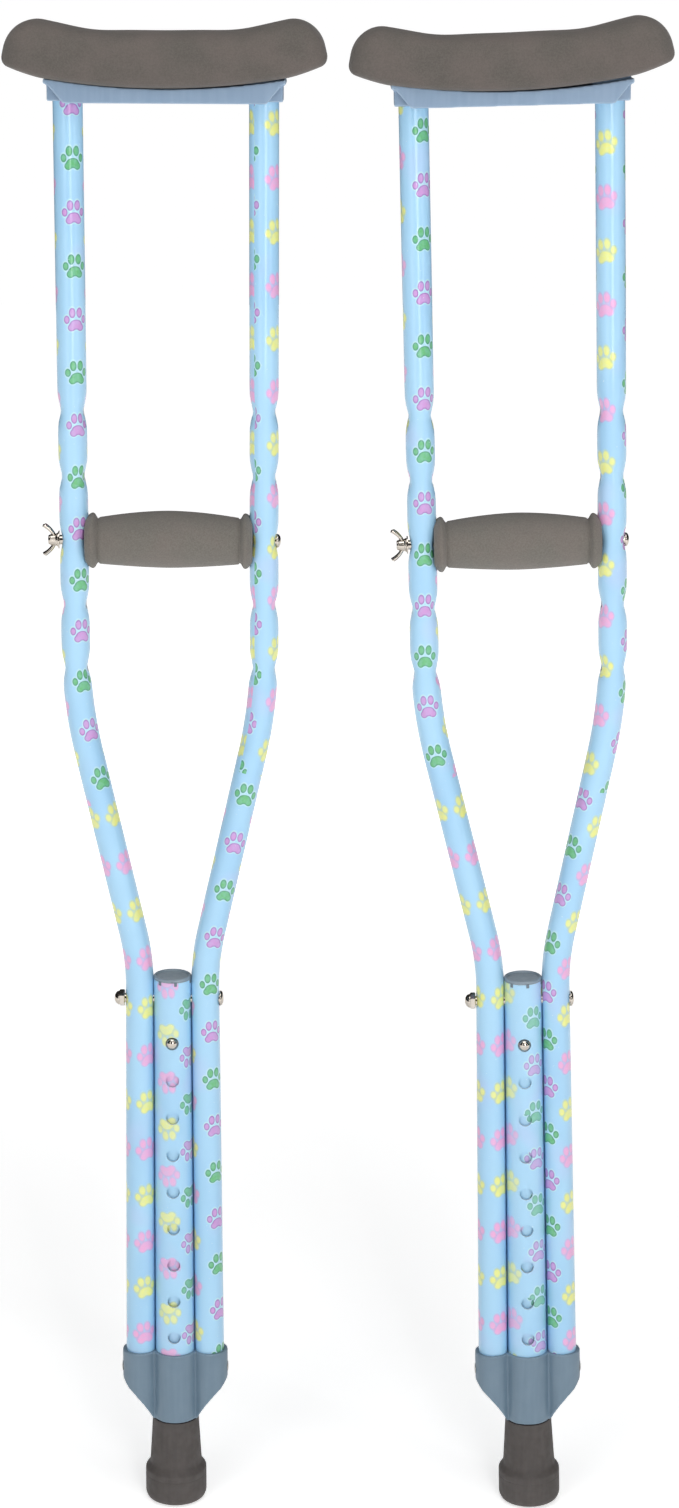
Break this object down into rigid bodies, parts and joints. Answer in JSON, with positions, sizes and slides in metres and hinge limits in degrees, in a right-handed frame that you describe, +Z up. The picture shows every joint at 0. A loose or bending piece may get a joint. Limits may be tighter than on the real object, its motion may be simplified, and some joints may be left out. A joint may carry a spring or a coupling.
{
  "type": "underarm crutches",
  "caption": "Pair of youth underarm crutches: bent bow tubes, foam underarm pad, height-adjustable handgrip, telescoping push-button leg and rubber tip.",
  "frame": {"origin": "centre of the left crutch's rubber tip, on the floor", "axes": "+Z up along the left crutch, +X from the left crutch to the right one, -Y the front with the snap buttons"},
  "size_m": [0.3973, 0.046, 0.9622],
  "materials": {
    "printed_tube": "glossy light blue paw-print wrap over aluminium",
    "cap_plastic": "satin",
    "bracket_plastic": "satin moulded",
    "saddle_plastic": "satin moulded",
    "aluminium_rivet": "satin",
    "white_nylon": "satin",
    "bright_steel": "plated, bright",
    "spring_steel": "oiled",
    "pad_foam": "matte fine-cell foam",
    "grip_foam": "matte fine-cell foam",
    "black_plastic": "satin",
    "tip_rubber": "matte moulded"
  },
  "bodies": {
    "left_frame": {"left_bow_tube_nut_side": "printed_tube", "left_bow_tube_head_side": "printed_tube", "left_centre_tube": "printed_tube", "left_centre_tube_cap": "cap_plastic", "left_y_bracket": "bracket_plastic", "left_bracket_rivets": "aluminium_rivet", "left_leg_bushing": "white_nylon", "left_cross_bolt": "bright_steel", "left_cross_nut": "bright_steel", "left_saddle_bracket": "saddle_plastic", "left_saddle_pins": "spring_steel", "left_underarm_pad": "pad_foam"},
    "left_leg": {"left_leg_tube": "printed_tube", "left_leg_glide": "white_nylon", "left_snap_spring": "spring_steel", "left_rubber_tip": "tip_rubber", "left_tip_washer": "spring_steel"},
    "left_snap_button": {"left_snap_button": "bright_steel"},
    "left_handgrip": {"left_handgrip_sleeve": "grip_foam", "left_handgrip_core": "black_plastic", "left_grip_bolt": "bright_steel", "left_grip_washer": "bright_steel"},
    "left_wing_nut": {"left_wing_nut": "bright_steel"},
    "right_frame": {"right_bow_tube_nut_side": "printed_tube", "right_bow_tube_head_side": "printed_tube", "right_centre_tube": "printed_tube", "right_centre_tube_cap": "cap_plastic", "right_y_bracket": "bracket_plastic", "right_bracket_rivets": "aluminium_rivet", "right_leg_bushing": "white_nylon", "right_cross_bolt": "bright_steel", "right_cross_nut": "bright_steel", "right_saddle_bracket": "saddle_plastic", "right_saddle_pins": "spring_steel", "right_underarm_pad": "pad_foam"},
    "right_leg": {"right_leg_tube": "printed_tube", "right_leg_glide": "white_nylon", "right_snap_spring": "spring_steel", "right_rubber_tip": "tip_rubber", "right_tip_washer": "spring_steel"},
    "right_snap_button": {"right_snap_button": "bright_steel"},
    "right_handgrip": {"right_handgrip_sleeve": "grip_foam", "right_handgrip_core": "black_plastic", "right_grip_bolt": "bright_steel", "right_grip_washer": "bright_steel"},
    "right_wing_nut": {"right_wing_nut": "bright_steel"}
  },
  "joints": [
    {"name": "left_leg_slide", "type": "slide", "parent": "left_frame", "child": "left_leg", "axis": [0, 0, -1], "range_m": [0, 0.2032], "deforming": ["left_snap_button", "left_snap_spring"]},
    {"name": "left_button_press", "type": "slide", "parent": "left_leg", "child": "left_snap_button", "axis": [0, 1, 0], "range_m": [0, 0.0045], "stiffness_N_per_m": 600, "deforming": ["left_snap_spring"]},
    {"name": "left_handgrip_height", "type": "slide", "parent": "left_frame", "child": "left_handgrip", "axis": [0, 0, 1], "range_m": [-0.08, 0.08], "deforming": ["left_grip_bolt"]},
    {"name": "left_wing_nut_spin", "type": "hinge", "parent": "left_handgrip", "child": "left_wing_nut", "pos_m": [-0.07, 0, 0.6455], "axis": [-1, 0, 0], "continuous": true},
    {"name": "right_leg_slide", "type": "slide", "parent": "right_frame", "child": "right_leg", "axis": [0.0323, 0, -0.9995], "range_m": [0, 0.2032], "deforming": ["right_snap_button", "right_snap_spring"]},
    {"name": "right_button_press", "type": "slide", "parent": "right_leg", "child": "right_snap_button", "axis": [0, 1, 0], "range_m": [0, 0.0045], "stiffness_N_per_m": 600, "deforming": ["right_snap_spring"]},
    {"name": "right_handgrip_height", "type": "slide", "parent": "right_frame", "child": "right_handgrip", "axis": [-0.0323, 0, 0.9995], "range_m": [-0.08, 0.08], "deforming": ["right_grip_bolt"]},
    {"name": "right_wing_nut_spin", "type": "hinge", "parent": "right_handgrip", "child": "right_wing_nut", "pos_m": [0.1444, 0, 0.64341], "axis": [-0.9995, 0, -0.0323], "continuous": true},
    {"name": "right_crutch_position", "type": "slide", "parent": "left_frame", "child": "right_frame", "axis": [1, 0, 0], "range_m": [0, 0.3]}
  ]
}
